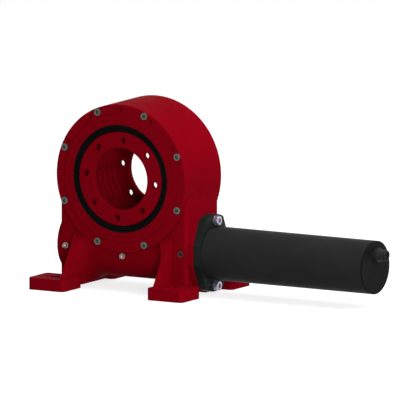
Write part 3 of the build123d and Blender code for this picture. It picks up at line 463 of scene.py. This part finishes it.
modelNipple("leftGreaseNipple", "left_grease_nipple")
modelNipple("centreGreaseNipple", "centre_grease_nipple")
print("grease nipples modelled")

# a thread turn's crest end, root start and root end are shares of its pitch
connectorNut = {"sides": 48, "nutWidth": 6 * mm, "ribDepth": 0.35 * mm, "ribBand": (0.18, 0.82),
                "edge": 0.15 * mm, "overlap": 0.5 * mm, "sleeveSides": 64, "sleeveRadius": 8 * mm,
                "boreRadius": 7.05 * mm, "boreExtra": mm, "threads": 7, "threadDepth": 0.45 * mm,
                "threadShape": (0.15, 0.5, 0.65), "threadFrom": 0.5 * mm, "plainEnd": mm}


def modelConnectorNut():
    # ribbed nut against the motor's end, and the threaded sleeve that the plug screws on
    low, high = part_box("connector_nut")
    length = high[0] - low[0]
    width = connectorNut["nutWidth"]
    nut = cylinderAt(connectorNut["sides"], (high[1] - low[1]) / 2, 0, width)
    softEdges(nut, connectorNut["edge"])
    bandLow, bandHigh = connectorNut["ribBand"]
    knurl(nut, connectorNut["sides"], width * bandLow, width * bandHigh, connectorNut["ribDepth"])
    crest = connectorNut["sleeveRadius"]
    root = crest - connectorNut["threadDepth"]
    level = width + connectorNut["threadFrom"]
    pitch = (length - connectorNut["plainEnd"] - level) / connectorNut["threads"]
    crestEnd, rootStart, rootEnd = [share * pitch for share in connectorNut["threadShape"]]
    profile = [(crest, width - connectorNut["overlap"])]
    for i in range(connectorNut["threads"]):
        profile += [(crest, level + crestEnd), (root, level + rootStart), (root, level + rootEnd)]
        level += pitch
    profile += [(crest, level), (crest, length)]
    sleeve = turnedPiece(connectorNut["sleeveSides"], profile)
    softEdges(sleeve, connectorNut["edge"])
    extra = connectorNut["boreExtra"]
    for part in (nut, sleeve):
        bore = cylinderAt(connectorNut["sleeveSides"], connectorNut["boreRadius"], -extra, length + extra)
        bpy.context.view_layer.objects.active = part
        addModifier(part, "BOOLEAN", operation="DIFFERENCE", object=bore, solver="EXACT")
        bpy.data.objects.remove(bore)
        smoothed(part)
    place = (low[0], (low[1] + high[1]) / 2, (low[2] + high[2]) / 2)
    nut = placedCopies("connectorNut", joined("connectorPattern", [nut, sleeve]), [(place, (1, 0, 0))])
    standsFor(nut, "housing_assembly", "black_plastic", plasticBlack, "connector_nut")


modelConnectorNut()
print("connector modelled")

# angles in degrees, the rest in metres; right and down move the camera's target off the origin
camera = {"azimuth": 30.7, "elevation": 8.9, "across": 0.549, "right": 0.0832, "down": 0.0358,
          "distance": 3.0}
azimuth = math.radians(camera["azimuth"])
elevation = math.radians(camera["elevation"])
back = Vector((math.sin(azimuth) * math.cos(elevation), -math.cos(azimuth) * math.cos(elevation),
               math.sin(elevation)))
right = Vector((math.cos(azimuth), math.sin(azimuth), 0))
up = back.cross(right)
target = right * camera["right"] - up * camera["down"]
bpy.ops.object.camera_add(location=target + back * camera["distance"])
eye = bpy.context.object
eye.name = "mainCamera"
eye.rotation_mode = "QUATERNION"
eye.rotation_quaternion = (-back).to_track_quat("-Z", "Y")
eye.data.type = "ORTHO"
eye.data.ortho_scale = camera["across"]
bpy.context.scene.camera = eye
print("camera placed")

lampAim = Vector((0, 0, -0.05))
lamps = {
    "sideLamp": {"place": (2.0, -0.2, 1.1), "size": 1.4, "watts": 29},
    "topLamp": {"place": (0.3, 0.2, 2.2), "size": 1.6, "watts": 38},
    "boreLamp": {"place": (1.55, -1.8, 0.25), "size": 0.7, "watts": 37},
}
for name, lamp in lamps.items():
    bpy.ops.object.light_add(type="AREA", location=lamp["place"])
    light = bpy.context.object
    light.name = name
    light.data.shape = "DISK"
    light.data.size = lamp["size"]
    light.data.energy = lamp["watts"]
    light.rotation_mode = "QUATERNION"
    light.rotation_quaternion = (lampAim - Vector(lamp["place"])).to_track_quat("-Z", "Y")
print("lamps placed")


def backgroundRays(nodes, links):
    # 1 for the rays that see or mirror the background, 0 for those that light the drive
    path = nodes.new("ShaderNodeLightPath")
    total = path.outputs["Is Camera Ray"]
    for ray in ("Is Glossy Ray", "Is Transmission Ray"):
        either = nodes.new("ShaderNodeMath")
        either.operation = "MAXIMUM"
        links.new(total, either.inputs[0])
        links.new(path.outputs[ray], either.inputs[1])
        total = either.outputs["Value"]
    return total


# the floor's own glow is seen only by the rays that see or mirror the background
studio = {"background": (1, 1, 1), "worldLight": (0.35, 0.35, 0.36), "floorSize": 12, "floorDrop": 0.2 * mm,
          "floorColour": (0.36, 0.36, 0.36), "floorRoughness": 0.9, "floorSpecular": 0.1, "floorGlow": 0.77}
world = bpy.data.worlds.new("studio")
bpy.context.scene.world = world
world.use_nodes = True
nodes = world.node_tree.nodes
links = world.node_tree.links
seen = nodes.new("ShaderNodeBackground")
seen.inputs["Color"].default_value = (*studio["background"], 1)
lit = nodes["Background"]
lit.inputs["Color"].default_value = (*studio["worldLight"], 1)
mix = nodes.new("ShaderNodeMixShader")
links.new(backgroundRays(nodes, links), mix.inputs["Fac"])
links.new(lit.outputs["Background"], mix.inputs[1])
links.new(seen.outputs["Background"], mix.inputs[2])
links.new(mix.outputs["Shader"], nodes["World Output"].inputs["Surface"])

bpy.ops.mesh.primitive_plane_add(size=studio["floorSize"], location=(0, 0, baseZ - studio["floorDrop"]))
floor = bpy.context.object
floor.name = "floor"
material, nodes, links, shader = newMaterial("paleFloor")
shader.inputs["Base Color"].default_value = (*studio["floorColour"], 1)
shader.inputs["Roughness"].default_value = studio["floorRoughness"]
shader.inputs["Specular IOR Level"].default_value = studio["floorSpecular"]
strength = nodes.new("ShaderNodeMath")
strength.operation = "MULTIPLY"
strength.inputs[1].default_value = studio["floorGlow"]
links.new(backgroundRays(nodes, links), strength.inputs[0])
shader.inputs["Emission Color"].default_value = (1, 1, 1, 1)
links.new(strength.outputs["Value"], shader.inputs["Emission Strength"])
floor.data.materials.append(material)
bpy.context.scene.view_settings.view_transform = "Standard"
print("stage set")
